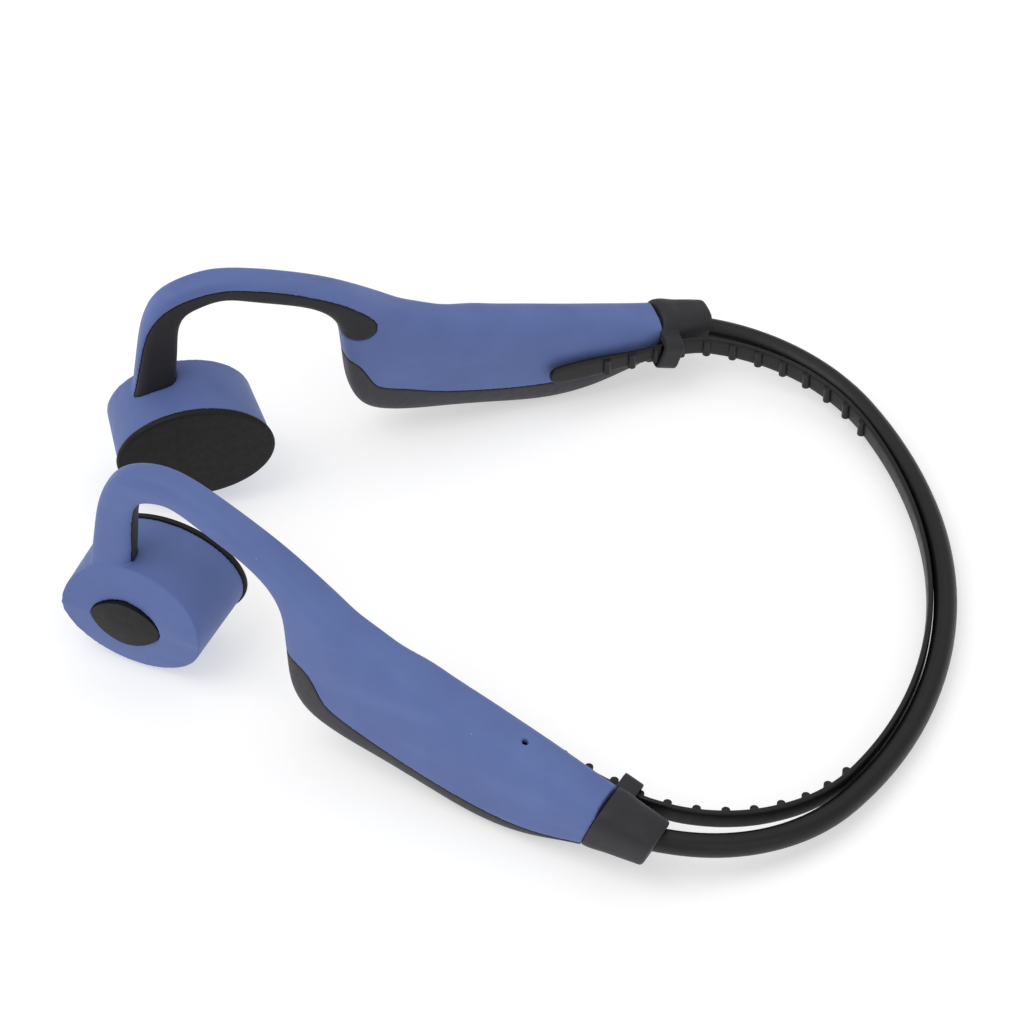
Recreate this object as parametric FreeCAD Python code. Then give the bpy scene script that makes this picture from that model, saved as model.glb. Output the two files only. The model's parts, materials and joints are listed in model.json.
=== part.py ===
import FreeCAD, Part
import math
import os

Vec = FreeCAD.Vector
os.makedirs("parts", exist_ok=True)

# Bone conduction headphones, millimetres. +Z is up, -Y is the wearer's front,
# +X is the wearer's left. Both sides are alike about the plane X = 0.

# Plan line of an arm: straight from the neck to the ear, then nearly parallel to Y.
ARM_REAR_X, ARM_REAR_Y = 60.35, 26.2     # where the neckband leaves the sleeve
ARM_SLOPE = 0.454                       # dX/dY of the straight stretch
HOOK_SLOPE = 0.16                       # dX/dY ahead of the ear
HOOK_TURN_Y, HOOK_TURN_SOFT = -60.0, 3.0
ARM_LEAN = 0.085                        # the lower edge stands further out than the upper
UNDER_LEAN = 0.77                       # how far the underside's middle stands out by it
ARM_ROUND = 3.1                         # superellipse exponent of the arm's section
ARM_POINTS = 32
ROUND_POINTS = 12
POD_POINTS = 40

# Stations from the pod, over the ear and back to the sleeve: outer edge (Y, Z),
# inner edge (Y, Z), half thickness. The front ones fan round the ear opening.
ARM_STATIONS = [
    ((-68.6, 17.8), (-61.5, 17.3), 2.8),
    ((-68.1, 21.4), (-61.2, 20.8), 2.75),
    ((-67.1, 29.0), (-60.6, 28.6), 2.6),
    ((-65.9, 35.2), (-60.1, 33.6), 2.55),
    ((-63.3, 40.1), (-58.8, 36.2), 2.5),
    ((-59.4, 42.5), (-56.9, 37.3), 2.5),
    ((-54.7, 43.3), (-53.8, 38.0), 2.5),
    ((-48.6, 41.9), (-49.3, 36.6), 2.6),
    ((-41.7, 38.9), (-43.9, 34.4), 2.8),
    ((-35.6, 35.5), (-39.7, 32.4), 3.1),
    ((-30.6, 32.1), (-36.6, 29.4), 3.4),
    ((-26.8, 29.3), (-35.0, 25.7), 3.75),
    ((-24.0, 27.4), (-34.4, 20.5), 4.0),
    ((-21.5, 26.2), (-34.0, 15.2), 4.25),
    ((-19.0, 25.1), (-33.2, 10.4), 4.4),
    ((-16.5, 24.1), (-31.2, 7.0), 4.5),
    ((-13.0, 23.1), (-27.0, 5.0), 4.9),
    ((-8.6, 21.6), (-19.2, 3.4), 5.05),
    ((-3.3, 19.9), (-10.1, 1.5), 5.1),
    ((2.6, 18.0), (-1.0, -0.1), 5.05),
    ((8.5, 16.1), (7.0, 0.7), 4.85),
    ((13.5, 14.5), (12.9, 2.6), 4.45),
    ((17.8, 13.2), (17.6, 3.9), 4.15),
]
FIRST_HOLLOW, LAST_HOLLOW = 13, 21      # stations that hold the compartment
SHELL_WALL = 1.3
PART_LINE = 0.08                        # gap between two mouldings of one arm

# Soft inlay on the inner and under side of the hook.
INLAY_EDGE = [(-69.0, 15.3), (-66.9, 23.3), (-65.8, 29.4), (-64.6, 33.8), (-62.7, 37.1),
              (-60.0, 39.4), (-56.5, 40.7), (-52.6, 41.0), (-48.2, 39.9), (-43.4, 38.1),
              (-37.9, 35.4), (-33.1, 32.4), (-30.1, 29.9), (-28.4, 27.8), (-28.4, 26.1),
              (-29.7, 24.9), (-32.0, 24.7), (-34.9, 25.5), (-38.0, 27.6)]
INLAY_REACH = 1.35                      # how far it passes the arm's middle, outwards
HOOK_WIRE_SHARE, HOOK_WIRE_RADIUS = 0.36, 0.75  # share of the way from outer to inner edge
LEADS_RADIUS, LEADS_BESIDE = 0.35, 1.7

# Lower cover of the compartment: its edge as seen from the side.
COVER_EDGE = [(-39.0, 20.4), (-34.0, 19.2), (-31.5, 17.8), (-29.8, 15.1), (-28.2, 12.5),
              (-25.0, 11.1), (-17.0, 8.4), (-8.0, 6.1), (0.0, 4.9), (8.0, 4.8), (15.0, 6.2)]
COVER_FALL = 0.2                        # that edge is lower on the arm's outer side

# Pod: two ovals facing each other, outer face and skin side.
POD_NORMAL = Vec(-0.954, 0.300, 0.0)    # from the outer face to the skin
POD_OUTER_CENTRE = Vec(25.6, -61.5, 11.4)
POD_OUTER_HALF = (12.4, 10.9)
POD_INNER_CENTRE = Vec(12.2, -56.5, 12.7)
POD_INNER_HALF = (13.2, 9.3)
POD_DEPTH = 14.3
POD_ROUND = 1.96
POD_WALL = 1.4
POD_RIDGE_RISE, POD_RIDGE_FALL = 0.85, 0.15
PAD_SHOWS = 1.2                         # black edge of the pad past the housing
PAD_LIP = 0.3                           # how far that edge stands round the housing
PAD_ROUND = 0.7                         # rounding of its skin side
PAD_PLUG = 1.2

# Function button on the left pod.
BUTTON_HALF = (6.1, 4.5)
BUTTON_AHEAD, BUTTON_BELOW = 0.95, 0.45  # its middle, from the pod's
BUTTON_DOME_RADIUS = 32.0
BUTTON_ROUND = 1.75
BUTTON_PROUD = 0.45
BUTTON_CLEAR = 0.12
BUTTON_FLANGE = 0.7

# Sleeve and its strap loop.
SLEEVE_FRONT = -10.3                    # along the arm's axis from the neckband's exit
SLEEVE_SECTIONS = [(-10.3, 8.35, 4.4, 4.95), (-9.7, 8.35, 4.45, 5.0), (-6.5, 8.1, 4.2, 4.45),
                   (-3.2, 7.8, 3.85, 4.0), (-1.3, 7.6, 3.65, 3.7), (-0.5, 7.5, 3.45, 3.5),
                   (-0.3, 7.5, 3.0, 3.05)]
SLEEVE_RAKE = 0.32                      # its ends stand this much further back at the top
LOOP_AT, LOOP_WIDTH = -9.0, 3.5
LOOP_WALL = 0.95
LOOP_SLOT = (4.6, 7.0)                  # slot's reach inwards from the arm's axis
LOOP_SLOT_HALF_HEIGHT = 2.1
LOOP_Z = 8.45

# Neckband: a large arc behind the neck and a small one out of each sleeve.
BAND_APEX_Y = 70.2
BAND_REAR_RADIUS, BAND_SIDE_RADIUS, BAND_EXIT_RADIUS = 76.0, 34.5, 12.0
BAND_CORNER_DEG = 53.5                  # where the rear arc gives way to the side arc
TUBE_RADIUS, TUBE_BORE = 1.95, 1.15
WIRE_RADIUS, CABLE_RADIUS = 0.5, 0.4
WIRE_RISE, CABLE_DROP = 0.5, 0.6        # where they lie in the tube's bore
BAND_LOW_Z, BAND_RISE = 2.7, 4.6
BAND_FLAT_Y, BAND_SLEEVE_Y = 66.0, 26.2
BAND_RISE_POWER = 1.2
TAIL_RISE = 0.05                        # the strap's tails climb forwards
BAND_STEPS = 32
TUBE_START, WIRE_AHEAD = 0.9, 4.0        # behind and ahead of the sleeve's front end

# Adjusting strap.
STRAP_OFFSET = 5.4                      # from the arm's axis to the strap's middle
STRAP_SPREAD_FROM, STRAP_SPREAD = -6.0, 0.055   # ahead of it the strap leans off the arm
STRAP_BAND_OFFSET = 2.6                 # from the tube's middle to the strap's middle
STRAP_SIDE_RADIUS, STRAP_EXIT_RADIUS = 31.0, 20.0
STRAP_CORNER_DEG = 57.0
STRAP_LIFT, STRAP_LIFT_Y = 0.9, 45.0    # above the tube's middle, from this Y forwards
STRAP_THICK, STRAP_HEIGHT = 1.05, 3.5
STRAP_SQUARE = 3.6
STRAP_TIP_STEPS = (0.12, 0.4, 0.75, 1.15, 1.75)
STRAP_TIP_Y = -2.2
STRAP_STEPS = 48
STRAP_SPLIT = -9.0                      # end of the sliding tail, inside the loop
STRAP_JOINT_GAP = 0.2
RIB_PITCH, RIB_RADIUS = 4.7, 0.7
RIB_FIRST = 10.6                        # from the tail's tip
RIBS = 12

# Magnetic driver in each pod, as depths from the outer face.
YOKE_AT, YOKE_DEPTH, YOKE_RADIUS, YOKE_WALL = 5.6, 4.2, 6.4, 0.9
MAGNET_RADIUS, MAGNET_DEPTH = 4.0, 2.4
COIL_INNER, COIL_OUTER, COIL_DEPTH = 4.4, 5.2, 3.0
PLATE_AT, PLATE_THICK, PLATE_RADIUS = 11.2, 0.6, 6.5
FRAME_AT, FRAME_STEP, FRAME_END = 9.0, 9.8, 11.8
PLATE_CLEAR = 0.4

# Switch behind the function button, depths from the outer face.
SWITCH_AT, SWITCH_SIZE = 2.75, (4.6, 3.4, 1.0)
SWITCH_BOARD_AT, SWITCH_BOARD_SIZE = 3.75, (11.0, 7.5, 0.8)

# Contents of the compartments, placed at a Y and Z of the arm's middle surface.
CONTENTS_TILT = math.radians(11.5)      # the compartment falls rearwards
BATTERY, BATTERY_YZ = (22.0, 4.4, 10.0), (-10.5, 11.6)
BOARD, BOARD_YZ, BOARD_INWARDS = (24.0, 1.0, 8.5), (-7.5, 12.9), 1.2
CHIP = (6.0, 1.2, 6.0)
MIC_PORT = Vec(49.9, 4.3, 16.6)         # where its hole comes out on top of the arm
MIC_RADIUS, MIC_LONG, MIC_HOLE, MIC_DEPTH = 1.5, 1.2, 0.55, 1.6
MIC_BOARD = (5.0, 4.0, 0.6)

# Volume buttons in the right cover's underside, as depths from the cover's skin.
VOLUME_YZ, VOLUME_SHIFT = (-13.6, 2.2), 4.35
VOLUME_TILT = math.radians(11.0)
VOLUME_LONG, VOLUME_WIDE = 7.2, 2.8
VOLUME_PROUD, VOLUME_FLANGE_AT, VOLUME_FLANGE = 0.35, 1.95, 0.5
VOLUME_SWITCH_AT, VOLUME_SWITCH = 2.95, (4.0, 2.6, 1.4)
VOLUME_BOARD_AT, VOLUME_BOARD = 4.35, (17.0, 4.0, 0.8)
FLANGE_OVERHANG = 0.6

# Charging pins, flush in the right cover's underside.
PIN_YZ = {"front": (-4.6, 0.55), "rear": (-1.3, -0.03)}
PIN_RADIUS, PIN_LONG, PIN_RECESS = 0.8, 1.9, 0.12

SLOPE_LENGTH = math.hypot(1.0, ARM_SLOPE)
ALONG = Vec(ARM_SLOPE / SLOPE_LENGTH, 1.0 / SLOPE_LENGTH, 0.0)      # rearwards along the arm
OUTWARD = Vec(ALONG.y, -ALONG.x, 0.0)
UP = Vec(0, 0, 1)
RAKED = (ALONG - UP * SLEEVE_RAKE).normalize()                      # square to the sleeve's ends
POD_ALONG = Vec(POD_NORMAL.y, -POD_NORMAL.x, 0.0)


def export(node, shape):
    shape.exportStep("parts/" + node + ".step")


def mirrored(shape):
    return shape.mirror(Vec(0, 0, 0), Vec(1, 0, 0))


def spline(points, closed=False):
    curve = Part.BSplineCurve()
    curve.interpolate(points, PeriodicFlag=closed)
    return curve.toShape()


def skin(sections):
    """Solid with one smooth side through closed sections of equally many points."""
    steps = [float(i) for i in range(len(sections[0]) + 1)]
    rings = []
    for points in sections:
        ring = Part.BSplineCurve()
        ring.interpolate(Points=points, PeriodicFlag=True, Parameters=steps)
        rings.append(ring)
    runs = [0.0]
    for here, there in zip(sections, sections[1:]):
        runs.append(runs[-1] + max((a - b).Length for a, b in zip(here, there)))
    columns = []
    for poles in zip(*[ring.getPoles() for ring in rings]):
        column = Part.BSplineCurve()
        column.interpolate(Points=list(poles), Parameters=runs)
        columns.append(column)
    surface = Part.BSplineSurface()
    surface.buildFromPolesMultsKnots(
        [column.getPoles() for column in columns],
        rings[0].getMultiplicities(), columns[0].getMultiplicities(),
        rings[0].getKnots(), columns[0].getKnots(),
        True, False, rings[0].Degree, columns[0].Degree)
    caps = [Part.Face(Part.Wire(ring.toShape())) for ring in (rings[0], rings[-1])]
    shell = Part.makeShell([surface.toShape()] + caps)
    shell.sewShape()
    solid = Part.makeSolid(shell)
    if solid.Volume < 0:
        solid.reverse()
    return solid


def place(shape, origin, x_dir, z_dir):
    """Move a shape drawn about the origin so that its X and Z follow x_dir and z_dir."""
    x = Vec(x_dir).normalize()
    z = Vec(z_dir)
    z = (z - x * z.dot(x)).normalize()
    y = z.cross(x)
    matrix = FreeCAD.Matrix(x.x, y.x, z.x, origin.x, x.y, y.y, z.y, origin.y,
                            x.z, y.z, z.z, origin.z, 0, 0, 0, 1)
    moved = shape.copy()
    moved.Placement = FreeCAD.Placement(matrix).multiply(moved.Placement)
    return moved


def superellipse(half_a, half_b, power, count):
    points = []
    for i in range(count):
        angle = 2 * math.pi * i / count
        c, s = math.cos(angle), math.sin(angle)
        points.append((half_a * math.copysign(abs(c) ** (2 / power), c),
                       half_b * math.copysign(abs(s) ** (2 / power), s)))
    return points


def box_at(size, centre, x_dir, z_dir):
    box = Part.makeBox(size[0], size[1], size[2], Vec(-size[0] / 2, -size[1] / 2, -size[2] / 2))
    return place(box, centre, x_dir, z_dir)


# ---- arm ---------------------------------------------------------------------------

def plan_x(y):
    """X of the arm's middle at a given Y: the straight arm, turned forwards at the hook."""
    straight = ARM_REAR_X + ARM_SLOPE * (y - ARM_REAR_Y)
    ahead = (HOOK_TURN_Y - y) / HOOK_TURN_SOFT
    return straight + (ARM_SLOPE - HOOK_SLOPE) * HOOK_TURN_SOFT * math.log1p(math.exp(ahead))


def plan_normal(y):
    slope = (plan_x(y + 0.1) - plan_x(y - 0.1)) / 0.2
    return Vec(1.0, -slope, 0.0).normalize()


def arm_section(station, inset=0.0):
    (outer_y, outer_z), (inner_y, inner_z), half = station
    lean = ARM_LEAN * (outer_z - inner_z) / 2
    outer = Vec(plan_x(outer_y) - lean, outer_y, outer_z)
    inner = Vec(plan_x(inner_y) + lean, inner_y, inner_z)
    middle = (outer + inner) * 0.5
    reach = (outer - inner).Length / 2 - inset
    direction = (outer - inner).normalize()
    normal = plan_normal(middle.y)
    return [middle + direction * a + normal * b
            for a, b in superellipse(reach, half - inset, ARM_ROUND, ARM_POINTS)]


def side_prism(points, corners, fall=0.0):
    """Prism across the arm whose edge is a smooth line at the arm's middle, closed through corners."""
    start, reach = -20.0, 110.0
    base = [Vec(start, y, z + fall * (plan_x(y) - start)) for y, z in points]
    ends = [base[-1]] + [Vec(start, y, z) for y, z in corners] + [base[0]]
    lines = [Part.makeLine(a, b) for a, b in zip(ends, ends[1:])]
    return Part.Face(Part.Wire([spline(base)] + lines)).extrude(Vec(reach, 0, -fall * reach))


def inlay_tool(grow):
    points = [Vec(plan_x(y) + INLAY_REACH + grow, y, 0) for y in range(-76, -15, 5)]
    edge = spline(points)
    corners = [points[-1], Vec(-10, points[-1].y, 0), Vec(-10, points[0].y, 0), points[0]]
    lines = [Part.makeLine(a, b) for a, b in zip(corners, corners[1:])]
    inner_half = Part.Face(Part.Wire([edge] + lines)).extrude(Vec(0, 0, 60))
    edge_line = grown_line(INLAY_EDGE, grow)
    below = side_prism(edge_line, [(-46.0, 24.0), (-56.0, 12.0)])
    return below.common(inner_half)


def grown_line(points, grow):
    """The line moved sideways, to the left of its run, by grow."""
    moved = []
    for i, (y, z) in enumerate(points):
        (y0, z0), (y1, z1) = points[max(i - 1, 0)], points[min(i + 1, len(points) - 1)]
        length = math.hypot(y1 - y0, z1 - z0)
        moved.append((y - grow * (z1 - z0) / length, z + grow * (y1 - y0) / length))
    return moved


def cover_tool(grow):
    return side_prism(grown_line(COVER_EDGE, grow), [(22.0, -6.0), (-44.0, -6.0)], COVER_FALL)


def axis_point(along, inwards=0.0, z=0.0):
    """A point of the straight arm, measured from where the neckband leaves the sleeve."""
    return Vec(ARM_REAR_X, ARM_REAR_Y, z) + ALONG * along - OUTWARD * inwards


def hook_line(share):
    """Middle line of the hook: share 0 is its outer edge, 1 its inner edge."""
    points = []
    for (outer_y, outer_z), (inner_y, inner_z), half in ARM_STATIONS[:13]:
        y = outer_y + (inner_y - outer_y) * share
        z = outer_z + (inner_z - outer_z) * share
        points.append(Vec(plan_x(y), y, z))
    return points


def round_bar(points, radius, sideways=Vec()):
    """Round bar along a line of points, its sections square to the line."""
    sections = []
    for i, point in enumerate(points):
        ahead, behind = points[min(i + 1, len(points) - 1)], points[max(i - 1, 0)]
        direction = (ahead - behind).normalize()
        across = direction.cross(plan_side(direction)).normalize()
        level = across.cross(direction)
        sections.append([point + sideways + across * a + level * b
                         for a, b in superellipse(radius, radius, 2.0, ROUND_POINTS)])
    return skin(sections)


def plan_side(direction):
    """A direction that stays square to a line that runs mostly level or mostly in YZ."""
    return Vec(0, 0, 1).cross(direction) if abs(direction.z) < 0.3 else Vec(1, 0, 0)


# ---- neckband and strap lines ---------------------------------------------------------

def band_z(y):
    if y >= BAND_FLAT_Y:
        return BAND_LOW_Z
    share = (BAND_FLAT_Y - y) / (BAND_FLAT_Y - BAND_SLEEVE_Y)
    if share <= 1.0:
        return BAND_LOW_Z + BAND_RISE * share ** BAND_RISE_POWER
    return BAND_LOW_Z + BAND_RISE + TAIL_RISE * (BAND_SLEEVE_Y - y)


def band_line(start, offset, radii, corner_deg, count):
    """Points and directions in plan: straight along the arm, then three arcs to the apex."""
    rear_radius, side_radius, exit_radius = radii
    corner = math.radians(corner_deg)
    rear = Vec(0, BAND_APEX_Y - BAND_REAR_RADIUS, 0)
    side = rear + Vec(math.cos(corner), math.sin(corner), 0) * (rear_radius - side_radius)
    from_line = (axis_point(0.0, offset) - side).dot(OUTWARD)
    foot = (side - axis_point(0.0, offset)).dot(ALONG)
    leave = foot + math.sqrt((side_radius - exit_radius) ** 2 - (from_line - exit_radius) ** 2)
    small = axis_point(leave, offset + exit_radius)
    join = math.atan2((small - side).y, (small - side).x)
    first = math.atan2(OUTWARD.y, OUTWARD.x)
    arcs = [(small, exit_radius, first, join), (side, side_radius, join, corner),
            (rear, rear_radius, corner, math.pi / 2)]
    total = leave - start + sum(radius * (end - begin) for c, radius, begin, end in arcs)
    points = []
    for i in range(count + 1):
        s = total * i / count
        left = s - (leave - start)
        if left <= 0:
            point, direction = axis_point(start + s, offset), Vec(ALONG)
        else:
            for centre, radius, begin, end in arcs:
                if left <= radius * (end - begin) + 1e-6:
                    break
                left -= radius * (end - begin)
            angle = begin + left / radius
            point = centre + Vec(math.cos(angle), math.sin(angle), 0) * radius
            direction = Vec(-math.sin(angle), math.cos(angle), 0)
        points.append((Vec(point.x, point.y, band_z(point.y)), direction, s))
    return points


def both_sides(half):
    """Left half line carried on over the middle to the right sleeve."""
    other = [(Vec(-p.x, p.y, p.z), Vec(d.x, -d.y, 0), 0.0) for p, d, s in half[:-1]]
    return half + other[::-1]


def band_bar(line, radius, rise=0.0):
    sections = []
    for point, direction, s in line:
        inwards = Vec(-direction.y, direction.x, 0).normalize()
        sections.append([point + UP * (rise + b) + inwards * a
                         for a, b in superellipse(radius, radius, 2.0, ROUND_POINTS)])
    return skin(sections)


def strap_lifted(point, along):
    """Strap's middle: a little above the tube, and off the arm's side ahead of the loop."""
    lift = STRAP_LIFT * min(1.0, (BAND_APEX_Y - point.y) / (BAND_APEX_Y - STRAP_LIFT_Y))
    spread = STRAP_SPREAD * max(0.0, STRAP_SPREAD_FROM - along)
    return point + UP * lift - OUTWARD * spread


def strap_section(point, direction, share=1.0):
    """Flat section with rounded edges, its thin side facing the neck."""
    inwards = Vec(-direction.y, direction.x, 0).normalize()
    return [point + inwards * a + UP * b for a, b in
            superellipse(STRAP_THICK / 2, STRAP_HEIGHT / 2 * share, STRAP_SQUARE, 24)]


def rib(point, direction):
    inwards = Vec(-direction.y, direction.x, 0).normalize()
    height = STRAP_HEIGHT - 0.5
    base = point + inwards * (STRAP_THICK / 2) - UP * (height / 2)
    return Part.makeCylinder(RIB_RADIUS, height, base, UP)


# ---- pod -----------------------------------------------------------------------------

def pod_section(depth, inset=0.0):
    share = depth / POD_DEPTH
    half = [a * (1 - share) + b * share - inset for a, b in zip(POD_OUTER_HALF, POD_INNER_HALF)]
    centre = POD_OUTER_CENTRE * (1 - share) + POD_INNER_CENTRE * share
    return [centre + POD_ALONG * a + UP * b for a, b in superellipse(*half, POD_ROUND, POD_POINTS)]


def pod_slab(start, end, inset=0.0):
    return skin([pod_section(start + (end - start) * i / 4, inset) for i in range(5)])


def pod_point(depth):
    return POD_OUTER_CENTRE + POD_NORMAL * depth


def pod_disc(depth, thick, radius, bore=0.0):
    disc = Part.makeCylinder(radius, thick, pod_point(depth), POD_NORMAL)
    if bore:
        disc = disc.cut(Part.makeCylinder(bore, thick, pod_point(depth), POD_NORMAL))
    return disc


def button_point(depth):
    return pod_point(depth) - POD_ALONG * BUTTON_AHEAD - UP * BUTTON_BELOW


def behind_button(depth, size):
    """Block of length, height and thickness lying behind the function button."""
    length, height, thick = size
    return box_at((length, height, thick), button_point(depth + thick / 2), POD_ALONG, POD_NORMAL)


def lens(depth, thick, grow):
    points = [button_point(depth) + POD_ALONG * a + UP * b for a, b in
              superellipse(BUTTON_HALF[0] + grow, BUTTON_HALF[1] + grow, BUTTON_ROUND, POD_POINTS)]
    face = Part.Face(Part.Wire(spline(points, closed=True)))
    return face.extrude(POD_NORMAL * thick)


def pod_front(rise):
    """Everything behind the outer face: two flats that meet in a level ridge."""
    reach = 30.0
    fall = reach * POD_RIDGE_FALL - rise
    outline = [(0.0, -rise), (reach, fall), (reach, reach), (-reach, reach), (-reach, fall), (0.0, -rise)]
    corners = [pod_point(depth) + UP * height - POD_ALONG * reach for height, depth in outline]
    return Part.Face(Part.makePolygon(corners)).extrude(POD_ALONG * 2 * reach)


def make_pod(arm_solid, wire, leads):
    body = pod_slab(-2.0, POD_DEPTH - PAD_SHOWS).common(pod_front(POD_RIDGE_RISE))
    hollow = pod_slab(POD_WALL, POD_DEPTH, POD_WALL)
    housing = body.cut(hollow).cut(arm_solid).cut(wire).cut(leads)
    pad = [pod_section(POD_DEPTH - PAD_SHOWS, -PAD_LIP)]
    for degrees in (0, 25, 50, 72):
        angle = math.radians(degrees)
        pad.append(pod_section(POD_DEPTH - PAD_ROUND * (1 - math.sin(angle)),
                               PAD_ROUND * (1 - math.cos(angle)) - PAD_LIP))
    pad = skin(pad)
    plug = pod_slab(POD_DEPTH - PAD_SHOWS - PAD_PLUG, POD_DEPTH - PAD_SHOWS, POD_WALL + 0.05)
    pad = pad.fuse(plug)
    frame = pod_slab(FRAME_AT, FRAME_END, POD_WALL + 0.05)
    frame = frame.cut(pod_disc(FRAME_AT - 1, FRAME_STEP - FRAME_AT + 1, YOKE_RADIUS))
    frame = frame.cut(pod_disc(FRAME_STEP, FRAME_END, PLATE_RADIUS + PLATE_CLEAR))
    yoke = pod_disc(YOKE_AT, YOKE_DEPTH, YOKE_RADIUS)
    yoke = yoke.cut(pod_disc(YOKE_AT + YOKE_WALL, YOKE_DEPTH, YOKE_RADIUS - YOKE_WALL))
    magnet = pod_disc(YOKE_AT + YOKE_WALL, MAGNET_DEPTH, MAGNET_RADIUS)
    coil = pod_disc(PLATE_AT - COIL_DEPTH, COIL_DEPTH, COIL_OUTER, COIL_INNER)
    plate = pod_disc(PLATE_AT, PLATE_THICK, PLATE_RADIUS)
    return {"pod_housing": housing, "skin_pad": pad, "driver_frame": frame, "magnet_yoke": yoke,
            "magnet": magnet, "voice_coil": coil, "drive_plate": plate}


# ---- sleeve --------------------------------------------------------------------------

def sleeve_section(along, z, half_width, half_height):
    centre = axis_point(along, 0.0, z)
    return [centre + OUTWARD * a + (UP + ALONG * SLEEVE_RAKE) * b
            for a, b in superellipse(half_width, half_height, ARM_ROUND, ARM_POINTS)]


def make_sleeve(tube_hole):
    body = skin([sleeve_section(*section) for section in SLEEVE_SECTIONS])
    slot_in, slot_out = LOOP_SLOT
    reach = slot_out + LOOP_WALL - 2.0
    height = 2 * (LOOP_SLOT_HALF_HEIGHT + LOOP_WALL)
    middle = axis_point(LOOP_AT, 2.0 + reach / 2, LOOP_Z)
    ring = box_at((LOOP_WIDTH, reach, height), middle, RAKED, UP)
    corners = [e for e in ring.Edges if abs(e.Length - LOOP_WIDTH) < 0.01
               and (e.CenterOfMass - middle).dot(OUTWARD) < 0]
    ring = ring.makeFillet(1.6, corners)
    slot_middle = axis_point(LOOP_AT, (slot_in + slot_out) / 2, LOOP_Z)
    slot = box_at((LOOP_WIDTH * 6, slot_out - slot_in, 2 * LOOP_SLOT_HALF_HEIGHT), slot_middle, ALONG, UP)
    ring = ring.cut(slot)
    return body.fuse(ring).removeSplitter().cut(tube_hole)


# ---- contents of the compartments -------------------------------------------------------

UPRIGHT = (UP - OUTWARD * ARM_LEAN).normalize()
FALLING = (ALONG * math.cos(CONTENTS_TILT) - UP * math.sin(CONTENTS_TILT)).normalize()


def in_arm(size, where, inwards=0.0):
    """Block in the compartment, leaning and falling with it."""
    y, z = where
    across = UPRIGHT.cross(FALLING).normalize()
    return box_at(size, Vec(plan_x(y), y, z) + across * inwards, FALLING, UPRIGHT)


def under_point(where):
    """Point of the compartment's underside, where the leaning arm stands further out."""
    y, z = where
    return Vec(plan_x(y) + UNDER_LEAN, y, z)


def volume_frame():
    along = ALONG * math.cos(VOLUME_TILT) - UP * math.sin(VOLUME_TILT)
    inward = UP * math.cos(VOLUME_TILT) + ALONG * math.sin(VOLUME_TILT)
    return under_point(VOLUME_YZ), along, inward


def pill(shift, depth, thick, grow):
    """Long rounded block, its axis square to the underside."""
    middle, along, inward = volume_frame()
    half_wide = VOLUME_WIDE / 2 + grow
    half_straight = (VOLUME_LONG - VOLUME_WIDE) / 2
    bar = Part.makeBox(2 * half_straight, 2 * half_wide, thick, Vec(-half_straight, -half_wide, 0))
    ends = [Part.makeCylinder(half_wide, thick, Vec(x, 0, 0), UP) for x in (-half_straight, half_straight)]
    shape = bar.fuse(ends).removeSplitter()
    return place(shape, middle + along * shift + inward * depth, along, inward)


def volume_block(shift, depth, size):
    middle, along, inward = volume_frame()
    return box_at(size, middle + along * shift + inward * (depth + size[2] / 2), along, inward)


# ---- build ---------------------------------------------------------------------------

tube_radii = (BAND_REAR_RADIUS, BAND_SIDE_RADIUS, BAND_EXIT_RADIUS)
band_half = band_line(SLEEVE_FRONT + TUBE_START, 0.0, tube_radii, BAND_CORNER_DEG, BAND_STEPS)
wire_half = band_line(SLEEVE_FRONT - WIRE_AHEAD, 0.0, tube_radii, BAND_CORNER_DEG, BAND_STEPS)
band, wire_run = both_sides(band_half), both_sides(wire_half)

tube = band_bar(band, TUBE_RADIUS).cut(band_bar(both_sides(band_half), TUBE_BORE))
export("neckband_tube", tube)
neck_wire = band_bar(wire_run, WIRE_RADIUS, WIRE_RISE)
export("neckband_wire", neck_wire)
neck_cable = band_bar(wire_run, CABLE_RADIUS, -CABLE_DROP)
export("neckband_cable", neck_cable)

sleeve_hole = band_bar(band_half[:BAND_STEPS // 3], TUBE_RADIUS + 0.08)
wire_hole = band_bar(wire_half[:BAND_STEPS // 3], TUBE_BORE)

strap_start = -(ARM_REAR_Y - STRAP_TIP_Y) * SLOPE_LENGTH
strap_radii = (BAND_REAR_RADIUS - STRAP_BAND_OFFSET, STRAP_SIDE_RADIUS, STRAP_EXIT_RADIUS)
level_half = band_line(strap_start, STRAP_OFFSET, strap_radii, STRAP_CORNER_DEG, STRAP_STEPS)
strap_length = level_half[-1][2]
strap_half = [(strap_lifted(point, strap_start + s), direction, s) for point, direction, s in level_half]
tail_length = STRAP_SPLIT - strap_start


def strap_at(s):
    """Place and direction at a length along the strap, from the tail's tip."""
    index = min(int(s / strap_length * STRAP_STEPS), STRAP_STEPS - 1)
    (p0, d0, s0), (p1, d1, s1) = strap_half[index], strap_half[index + 1]
    share = (s - s0) / (s1 - s0)
    return p0 * (1 - share) + p1 * share, (d0 * (1 - share) + d1 * share).normalize()


rib_places = [RIB_FIRST + RIB_PITCH * i for i in range(RIBS)]
tail_sections = []
for s in STRAP_TIP_STEPS:
    rounding = STRAP_HEIGHT / 2 - s
    share = math.sqrt(1 - (2 * rounding / STRAP_HEIGHT) ** 2)
    tail_sections.append(strap_section(*strap_at(s), share))
tail_sections += [strap_section(*strap_at(s)) for s in (tail_length / 2, tail_length)]
tail = skin(tail_sections)
tail = tail.fuse([rib(*strap_at(s)) for s in rib_places if s < tail_length - 1])

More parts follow.
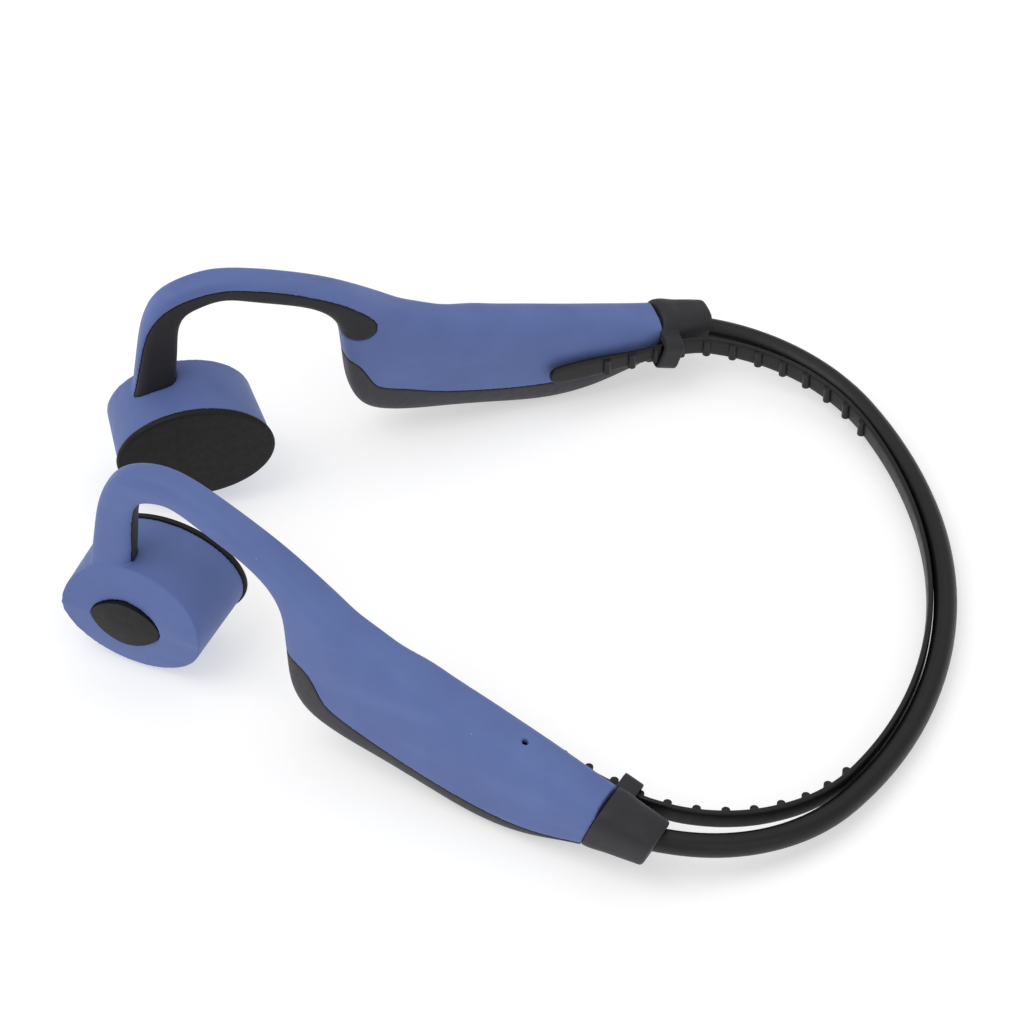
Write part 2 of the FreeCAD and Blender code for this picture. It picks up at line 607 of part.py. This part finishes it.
rear = [strap_at(tail_length + STRAP_JOINT_GAP)]
rear += [(p, d) for p, d, s in strap_half if s > tail_length + 1.5]
rear_other = [(Vec(-p.x, p.y, p.z), Vec(d.x, -d.y, 0)) for p, d in rear[:-1]]
strap_band = skin([strap_section(p, d) for p, d in rear + rear_other[::-1]])
ribs = [rib(*strap_at(s)) for s in rib_places if s > tail_length + 1]
strap_band = strap_band.fuse(ribs + [mirrored(r) for r in ribs])
export("strap_band", strap_band)

below_table = Part.makeBox(200, 200, 20, Vec(-20, -100, -20))
arm = skin([arm_section(station) for station in ARM_STATIONS]).cut(below_table)
hollow = skin([arm_section(s, SHELL_WALL) for s in ARM_STATIONS[FIRST_HOLLOW:LAST_HOLLOW]])
core_line = hook_line(HOOK_WIRE_SHARE)
hook_wire, wire_tunnel = round_bar(core_line, HOOK_WIRE_RADIUS), round_bar(core_line, HOOK_WIRE_RADIUS + 0.05)
beside = Vec(LEADS_BESIDE, 0, 0)
leads = round_bar(core_line, LEADS_RADIUS, beside)
leads_tunnel = round_bar(core_line, LEADS_RADIUS + 0.05, beside)
seam_middle = axis_point(SLEEVE_FRONT - PART_LINE, 0.0, SLEEVE_SECTIONS[0][1]) + RAKED * 15
behind_seam = box_at((30, 30, 30), seam_middle, RAKED, UP)

inlay = arm.common(inlay_tool(0.0)).cut(wire_tunnel).cut(leads_tunnel)
cover = arm.common(cover_tool(0.0)).cut(hollow).cut(wire_hole).cut(behind_seam)
housing = arm.cut(inlay_tool(PART_LINE)).cut(cover_tool(PART_LINE)).cut(hollow)
housing = housing.cut(wire_tunnel).cut(leads_tunnel).cut(wire_hole).cut(behind_seam)
sleeve = make_sleeve(sleeve_hole.fuse(wire_hole)).cut(arm.cut(behind_seam))
pod = make_pod(arm, wire_tunnel, leads_tunnel)

same_both_sides = {"hook_inlay": inlay, "hook_wire": hook_wire, "signal_leads": leads,
                   "end_sleeve": sleeve, "strap_tail": tail, **pod}
plain_pod_housing = same_both_sides.pop("pod_housing")
for node, shape in same_both_sides.items():
    export("left_" + node, shape)
    export("right_" + node, mirrored(shape))

# Left side: function button, battery and microphone.
export("left_pod_housing", plain_pod_housing.cut(lens(-3.0, 3.0 + POD_WALL + 1, BUTTON_CLEAR)))
button_top = button_point(BUTTON_DOME_RADIUS - POD_RIDGE_RISE - BUTTON_PROUD)
dome = Part.makeSphere(BUTTON_DOME_RADIUS, button_top)
button = lens(-3.0, 3.0 + POD_WALL + BUTTON_CLEAR, 0.0).common(dome)
export("function_button", button.fuse(lens(POD_WALL + BUTTON_CLEAR, BUTTON_FLANGE, BUTTON_FLANGE)))
export("function_switch", behind_button(SWITCH_AT, SWITCH_SIZE))
export("switch_board", behind_button(SWITCH_BOARD_AT, SWITCH_BOARD_SIZE))
export("battery", in_arm(BATTERY, BATTERY_YZ))
mic_up = UP * math.cos(CONTENTS_TILT) + ALONG * math.sin(CONTENTS_TILT)
mic_mouth = MIC_PORT - mic_up * MIC_DEPTH
export("microphone", Part.makeCylinder(MIC_RADIUS, MIC_LONG, mic_mouth, -mic_up))
mic_board_middle = mic_mouth - mic_up * (MIC_LONG + MIC_BOARD[2] / 2)
export("mic_board", box_at(MIC_BOARD, mic_board_middle, FALLING, mic_up))
mic_hole = Part.makeCylinder(MIC_HOLE, 2 * MIC_DEPTH, mic_mouth - mic_up * 0.2, mic_up)
export("left_arm_housing", housing.cut(mic_hole))
export("left_bottom_cover", cover)

# Right side: boards, volume buttons and charging pins, drawn on the left and mirrored.
export("right_pod_housing", mirrored(plain_pod_housing))
export("right_arm_housing", mirrored(housing))
export("main_board", mirrored(in_arm(BOARD, BOARD_YZ, BOARD_INWARDS)))
chip_inwards = BOARD_INWARDS - (BOARD[1] + CHIP[1]) / 2
export("bluetooth_chip", mirrored(in_arm(CHIP, BOARD_YZ, chip_inwards)))
export("volume_board", mirrored(volume_block(0.0, VOLUME_BOARD_AT, VOLUME_BOARD)))
open_cover = cover
for name, shift in (("volume_up", -VOLUME_SHIFT), ("volume_down", VOLUME_SHIFT)):
    open_cover = open_cover.cut(pill(shift, -1.0, VOLUME_FLANGE_AT + 1.0, BUTTON_CLEAR))
    cap = pill(shift, -VOLUME_PROUD, VOLUME_PROUD + VOLUME_FLANGE_AT, 0.0)
    cap = cap.fuse(pill(shift, VOLUME_FLANGE_AT, VOLUME_FLANGE, FLANGE_OVERHANG)).removeSplitter()
    export(name + "_button", mirrored(cap))
    export(name + "_switch", mirrored(volume_block(shift, VOLUME_SWITCH_AT, VOLUME_SWITCH)))
for name, where in PIN_YZ.items():
    pin = Part.makeCylinder(PIN_RADIUS, PIN_LONG, under_point(where) + UP * PIN_RECESS, UP)
    hole = Part.makeCylinder(PIN_RADIUS, 4.0, under_point(where) - UP, UP)
    export("charging_pin_" + name, mirrored(pin))
    open_cover = open_cover.cut(hole)
export("right_bottom_cover", mirrored(open_cover))
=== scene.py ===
import json

import bmesh
import bpy
from mathutils import Matrix, Vector


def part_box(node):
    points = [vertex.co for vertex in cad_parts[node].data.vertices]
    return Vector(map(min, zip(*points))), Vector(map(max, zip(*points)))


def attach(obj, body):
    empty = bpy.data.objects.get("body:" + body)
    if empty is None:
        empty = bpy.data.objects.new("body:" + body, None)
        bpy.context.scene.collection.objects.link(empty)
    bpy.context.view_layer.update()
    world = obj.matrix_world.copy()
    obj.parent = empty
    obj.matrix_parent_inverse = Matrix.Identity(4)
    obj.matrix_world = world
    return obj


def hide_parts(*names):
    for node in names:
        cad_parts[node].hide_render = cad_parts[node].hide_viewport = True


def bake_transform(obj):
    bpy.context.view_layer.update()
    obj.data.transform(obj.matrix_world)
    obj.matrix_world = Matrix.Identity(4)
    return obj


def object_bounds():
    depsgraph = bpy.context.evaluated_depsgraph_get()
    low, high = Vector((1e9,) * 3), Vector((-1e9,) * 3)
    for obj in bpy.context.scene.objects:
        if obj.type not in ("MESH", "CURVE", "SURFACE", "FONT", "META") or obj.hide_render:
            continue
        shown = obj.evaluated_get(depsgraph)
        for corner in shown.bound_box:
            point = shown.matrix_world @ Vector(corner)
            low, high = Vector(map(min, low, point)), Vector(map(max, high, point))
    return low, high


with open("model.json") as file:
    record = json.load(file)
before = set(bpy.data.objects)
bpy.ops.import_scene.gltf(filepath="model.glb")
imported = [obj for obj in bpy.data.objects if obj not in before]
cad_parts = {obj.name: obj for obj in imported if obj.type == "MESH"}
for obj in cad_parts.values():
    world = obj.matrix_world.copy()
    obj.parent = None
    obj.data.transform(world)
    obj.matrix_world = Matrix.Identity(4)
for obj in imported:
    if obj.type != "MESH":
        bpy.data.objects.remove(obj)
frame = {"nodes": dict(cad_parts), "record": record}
cad_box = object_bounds()
NODES = frame["nodes"]
SIDES = (("left", 1.0), ("right", -1.0))


# ---- materials ------------------------------------------------------------------------

def linear(r, g, b):
    out = [c / 255 for c in (r, g, b)]
    return [c / 12.92 if c <= 0.04045 else ((c + 0.055) / 1.055) ** 2.4 for c in out] + [1.0]


class Look:
    """A node material with its Principled shader ready."""

    def __init__(self, name, roughness=0.5, metallic=0.0, **sockets):
        self.material = bpy.data.materials.new(name)
        self.material.use_nodes = True
        self.tree = self.material.node_tree
        self.shader = self.tree.nodes["Principled BSDF"]
        self.shader.inputs["Roughness"].default_value = roughness
        self.shader.inputs["Metallic"].default_value = metallic
        for socket, value in sockets.items():
            self.shader.inputs[socket.replace("_", " ")].default_value = value
        self.place = self.tree.nodes.new("ShaderNodeTexCoord")

    def node(self, kind, **values):
        made = self.tree.nodes.new(kind)
        for name, value in values.items():
            if hasattr(made, name):
                setattr(made, name, value)
            else:
                made.inputs[name.replace("_", " ")].default_value = value
        return made

    def link(self, out, into):
        self.tree.links.new(out, into)

    def noise(self, scale, detail=3.0, roughness=0.55, stretch=None):
        made = self.node("ShaderNodeTexNoise", Scale=scale, Detail=detail, Roughness=roughness)
        source = self.place.outputs["Object"]
        if stretch:
            mapping = self.node("ShaderNodeMapping")
            mapping.inputs["Scale"].default_value = stretch
            self.link(source, mapping.inputs["Vector"])
            source = mapping.outputs["Vector"]
        self.link(source, made.inputs["Vector"])
        return made.outputs["Fac"]

    def ramp(self, source, stops):
        made = self.node("ShaderNodeValToRGB")
        ends = made.color_ramp.elements
        while len(ends) < len(stops):
            ends.new(0.5)
        for end, (at, colour) in zip(ends, stops):
            end.position = at
            end.color = colour
        self.link(source, made.inputs["Fac"])
        return made.outputs["Color"]

    def mix(self, factor, a, b):
        made = self.node("ShaderNodeMix", data_type="RGBA")
        self.link(factor, made.inputs["Factor"])
        for source, slot in ((a, made.inputs["A"]), (b, made.inputs["B"])):
            if isinstance(source, (list, tuple)):
                slot.default_value = source
            else:
                self.link(source, slot)
        return made.outputs["Result"]

    def colour(self, source):
        self.link(source, self.shader.inputs["Base Color"])

    def rough(self, source, low, high):
        made = self.node("ShaderNodeMapRange", To_Min=low, To_Max=high)
        made.inputs["From Min"].default_value = 0.3
        made.inputs["From Max"].default_value = 0.7
        self.link(source, made.inputs["Value"])
        self.link(made.outputs["Result"], self.shader.inputs["Roughness"])

    def bump(self, source, height, before=None):
        made = self.node("ShaderNodeBump", Distance=height, Strength=1.0)
        self.link(source, made.inputs["Height"])
        if before:
            self.link(before, made.inputs["Normal"])
        self.link(made.outputs["Normal"], self.shader.inputs["Normal"])
        return made.outputs["Normal"]

    def specks(self, scale, size, share):
        """Sparse small dots: 1 on a speck, 0 elsewhere."""
        cells = self.node("ShaderNodeTexVoronoi", Scale=scale, Randomness=1.0)
        self.link(self.place.outputs["Object"], cells.inputs["Vector"])
        near = self.node("ShaderNodeMath", operation="LESS_THAN")
        self.link(cells.outputs["Distance"], near.inputs[0])
        near.inputs[1].default_value = size
        pick = self.node("ShaderNodeSeparateColor")
        self.link(cells.outputs["Color"], pick.inputs["Color"])
        some = self.node("ShaderNodeMath", operation="LESS_THAN")
        self.link(pick.outputs["Red"], some.inputs[0])
        some.inputs[1].default_value = share
        both = self.node("ShaderNodeMath", operation="MULTIPLY")
        self.link(near.outputs[0], both.inputs[0])
        self.link(some.outputs[0], both.inputs[1])
        return both.outputs[0]


def soft_touch(name, base, shade, roughness, dust, sheen):
    """Silicone: slight mottling, a fine grain, faint flow marks and a little dust."""
    look = Look(name, roughness, Sheen_Weight=sheen, Sheen_Roughness=0.4, Specular_IOR_Level=0.32)
    cloud = look.noise(90.0, 2.0)
    tone = look.ramp(cloud, [(0.3, linear(*shade)), (0.7, linear(*base))])
    flow = look.noise(60.0, 3.0, stretch=(1.0, 0.18, 2.6))
    pale = linear(*[min(255, c + 9) for c in base])
    flowed = look.mix(look.ramp(flow, [(0.55, (0, 0, 0, 1)), (0.75, (0.5, 0.5, 0.5, 1))]), tone, pale)
    dusty = look.mix(look.specks(420.0, 0.05, dust), flowed, linear(*[min(255, c + 34) for c in base]))
    look.colour(dusty)
    grain = look.noise(5200.0, 2.0)
    look.rough(look.noise(700.0, 3.0), roughness - 0.05, roughness + 0.06)
    first = look.bump(cloud, 0.00004)
    look.bump(grain, 0.000012, first)
    return look.material


def moulded(name, base, roughness, coat=0.0, grain=3800.0, depth=0.00001):
    look = Look(name, roughness, Coat_Weight=coat, Coat_Roughness=0.3, Specular_IOR_Level=0.35)
    shade = [c * 0.88 for c in base]
    tone = look.ramp(look.noise(140.0, 3.0), [(0.3, linear(*shade)), (0.7, linear(*base))])
    dusty = look.mix(look.specks(420.0, 0.04, 0.03), tone, linear(*[min(255, c + 30) for c in base]))
    look.colour(dusty)
    look.rough(look.noise(900.0, 3.0), roughness - 0.05, roughness + 0.07)
    look.bump(look.noise(grain, 2.0), depth)
    return look.material


def metal(name, base, roughness, stretch):
    look = Look(name, roughness, 1.0)
    tone = look.ramp(look.noise(500.0, 3.0, stretch=stretch),
                     [(0.3, linear(*[c * 0.85 for c in base])), (0.7, linear(*base))])
    look.colour(tone)
    look.rough(look.noise(1500.0, 2.0, stretch=stretch), roughness - 0.06, roughness + 0.1)
    look.bump(look.noise(4000.0, 2.0, stretch=stretch), 0.000006)
    return look.material


def board(name):
    look = Look(name, 0.4, Coat_Weight=0.3)
    copper = look.noise(900.0, 1.0, stretch=(1.0, 1.0, 0.1))
    look.colour(look.ramp(copper, [(0.5, linear(18, 70, 45)), (0.56, linear(34, 104, 66))]))
    look.rough(look.noise(1200.0), 0.32, 0.5)
    look.bump(copper, 0.00003)
    return look.material


LOOKS = {
    "soft_blue": soft_touch("soft_blue", (92, 111, 166), (86, 104, 158), 0.56, 0.06, 0.05),
    "inlay_charcoal": soft_touch("inlay_charcoal", (36, 35, 39), (32, 31, 35), 0.62, 0.05, 0.04),
    "sleeve_charcoal": soft_touch("sleeve_charcoal", (42, 41, 46), (38, 37, 42), 0.57, 0.06, 0.05),
    "cover_grey": moulded("cover_grey", (54, 53, 60), 0.55),
    "band_black": moulded("band_black", (10, 10, 12), 0.42, 0.05, 2600.0),
    "strap_black": moulded("strap_black", (12, 12, 15), 0.46, 0.04, 2600.0),
    "pad_black": moulded("pad_black", (10, 10, 12), 0.62, 0.0, 3400.0, 0.00001),
    "button_black": moulded("button_black", (11, 11, 13), 0.55, 0.03),
    "inner_plastic": moulded("inner_plastic", (60, 60, 64), 0.5),
    "switch_body": moulded("switch_body", (35, 35, 38), 0.45),
    "chip_black": moulded("chip_black", (25, 25, 27), 0.4),
    "cable": moulded("cable", (48, 48, 52), 0.5),
    "battery_wrap": moulded("battery_wrap", (150, 155, 165), 0.3, 0.5),
    "circuit_board": board("circuit_board"),
    "yoke_steel": metal("yoke_steel", (150, 150, 155), 0.35, (1.0, 1.0, 6.0)),
    "magnet_chrome": metal("magnet_chrome", (190, 190, 195), 0.2, (1.0, 1.0, 4.0)),
    "coil_copper": metal("coil_copper", (184, 115, 70), 0.35, (9.0, 1.0, 1.0)),
    "spring_wire": metal("spring_wire", (160, 160, 165), 0.3, (6.0, 1.0, 1.0)),
    "contact_gold": metal("contact_gold", (212, 175, 95), 0.25, (1.0, 6.0, 1.0)),
}
SLOTS = {entry["node"]: entry["material_slot"] for entry in frame["record"]["subparts"]}
for name, node in NODES.items():
    node.data.materials.clear()
    node.data.materials.append(LOOKS[SLOTS[name]])


# ---- pieces ---------------------------------------------------------------------------

def new_piece(name, mesh, source):
    piece = bpy.data.objects.new(name, mesh)
    bpy.context.scene.collection.objects.link(piece)
    mesh.materials.clear()
    mesh.materials.append(LOOKS[SLOTS[source]])
    mesh.polygons.foreach_set("use_smooth", [True] * len(mesh.polygons))
    return piece


def final_mesh(piece):
    """The mesh with its modifiers worked in."""
    graph = bpy.context.evaluated_depsgraph_get()
    mesh = bpy.data.meshes.new_from_object(piece.evaluated_get(graph))
    piece.modifiers.clear()
    piece.data = mesh
    mesh.polygons.foreach_set("use_smooth", [True] * len(mesh.polygons))
    return mesh


def softened(name, nodes, voxel, rounds):
    """The nodes' solids as one moulding, its edges rounded and its creases filled a little."""
    joined = bmesh.new()
    for node in nodes:
        joined.from_mesh(NODES[node].data)
    mesh = bpy.data.meshes.new(name)
    joined.to_mesh(mesh)
    joined.free()
    piece = new_piece(name, mesh, nodes[0])
    remesh = piece.modifiers.new("even", "REMESH")
    remesh.mode = "VOXEL"
    remesh.voxel_size = voxel * 1.0
    smooth = piece.modifiers.new("round", "SMOOTH")
    smooth.factor = 0.5
    smooth.iterations = rounds
    final_mesh(piece)
    return piece


def cut(source, name, node, planes):
    """Part of a mesh between planes, each (point, normal), on the side normals point to."""
    work = bmesh.new()
    work.from_mesh(source)
    for point, normal in planes:
        parts = work.verts[:] + work.edges[:] + work.faces[:]
        bmesh.ops.bisect_plane(work, geom=parts, plane_co=point, plane_no=normal,
                               clear_inner=True, dist=1e-7)
    mesh = bpy.data.meshes.new(name)
    work.to_mesh(mesh)
    work.free()
    return new_piece(name, mesh, node)


# Behind this Y the strap band is cut into halves with the neckband, ahead of it into a front piece on
# each side.
FRONT_PLANE_Y = 0.045


def neckband_halves(node):
    """The node in two halves, each running from the middle of the back to its arm."""
    whole = NODES[node].data
    for side, sign in SIDES:
        planes = [((0, 0, 0), (sign, 0, 0))]
        if node == "strap_band":
            planes.append(((0, FRONT_PLANE_Y, 0), (0, 1, 0)))
        half = cut(whole, side + "_" + node, node, planes)
        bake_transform(half)
        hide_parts(node)


for node in ("neckband_tube", "neckband_wire", "neckband_cable", "strap_band"):
    neckband_halves(node)

# The strap ahead of the plane, cut off as a piece of its own on each side.
for side, sign in SIDES:
    lead = cut(NODES["strap_band"].data, side + "_strap_front", "strap_band",
               [((0, 0, 0), (sign, 0, 0)), ((0, FRONT_PLANE_Y, 0), (0, -1, 0))])
    low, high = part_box(side + "_strap_tail")
    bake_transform(lead)
    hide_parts("strap_band")

# Each moulding: its name, the nodes it stands for, voxel size and rounds of smoothing.
MOULDINGS = (("blue_moulding", ("arm_housing", "pod_housing"), 0.00021, 6),
             ("hook_inlay_soft", ("hook_inlay",), 0.00021, 4),
             ("bottom_cover_soft", ("bottom_cover",), 0.00021, 4),
             ("end_sleeve_soft", ("end_sleeve",), 0.00019, 5),
             ("skin_pad_soft", ("skin_pad",), 0.0002, 3))
for side, _ in SIDES:
    for name, kinds, voxel, rounds in MOULDINGS:
        nodes = [side + "_" + kind for kind in kinds]
        piece = softened(side + "_" + name, nodes, voxel, rounds)
        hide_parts(*nodes)
        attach(piece, side + "_arm")

# The nodes that stay as they are keep their edges crisp.
for node in NODES.values():
    node.data.polygons.foreach_set("use_smooth", [False] * len(node.data.polygons))


# ---- room -----------------------------------------------------------------------------

def plain(name, colour, roughness, glow):
    look = Look(name, roughness, Emission_Color=colour, Emission_Strength=glow)
    shade = [c * 0.985 for c in colour[:3]] + [1]
    look.colour(look.ramp(look.noise(6.0, 2.0), [(0.3, shade), (0.7, colour)]))
    return look.material


FLOOR_DROP = 0.0001
span = 3.0
floor_mesh = bpy.data.meshes.new("floor")
floor_mesh.from_pydata([(-span, -span, 0), (span, -span, 0), (span, span, 0), (-span, span, 0)], [],
                       [(0, 1, 2, 3)])
floor = bpy.data.objects.new("floor", floor_mesh)
bpy.context.scene.collection.objects.link(floor)
floor_mesh.materials.append(plain("floor_white", (0.62, 0.62, 0.62, 1.0), 0.9, 0.75))
floor.location.z = cad_box[0].z - FLOOR_DROP

world = bpy.data.worlds.new("studio")
bpy.context.scene.world = world
world.use_nodes = True
world.node_tree.nodes["Background"].inputs["Color"].default_value = (1.0, 1.0, 1.0, 1.0)
world.node_tree.nodes["Background"].inputs["Strength"].default_value = 0.6


def softbox(name, place, aim, size, power):
    lamp = bpy.data.lights.new(name, "AREA")
    lamp.shape = "DISK"
    lamp.size = size
    lamp.energy = power
    holder = bpy.data.objects.new(name, lamp)
    bpy.context.scene.collection.objects.link(holder)
    holder.location = place
    holder.rotation_euler = (Vector(aim) - Vector(place)).to_track_quat("-Z", "Y").to_euler()


softbox("key", (0.25, -0.55, 0.95), (0, 0, 0), 0.9, 4.0)
softbox("fill", (0.7, 0.6, 0.6), (0, 0, 0), 0.9, 1.2)
softbox("top", (-0.3, 0.1, 1.2), (0, 0, 0), 1.2, 2.0)

bpy.context.scene.view_settings.view_transform = "Standard"

# The camera looks down on the left arm from the wearer's left.
CAMERA_PLACE = (0.46274, 0.03253, 0.48267)
CAMERA_RIGHT = Vector((-0.09237, 0.99557, 0.01738))
CAMERA_UP = Vector((-0.70408, -0.07765, 0.70586))
camera_data = bpy.data.cameras.new("camera")
camera_data.sensor_width = 36.0
camera_data.lens = 140.625
camera_data.clip_start = 0.01
camera = bpy.data.objects.new("camera", camera_data)
bpy.context.scene.collection.objects.link(camera)
turn = Matrix((CAMERA_RIGHT, CAMERA_UP, CAMERA_RIGHT.cross(CAMERA_UP))).transposed().to_4x4()
camera.matrix_world = Matrix.Translation(CAMERA_PLACE) @ turn
bpy.context.scene.camera = camera
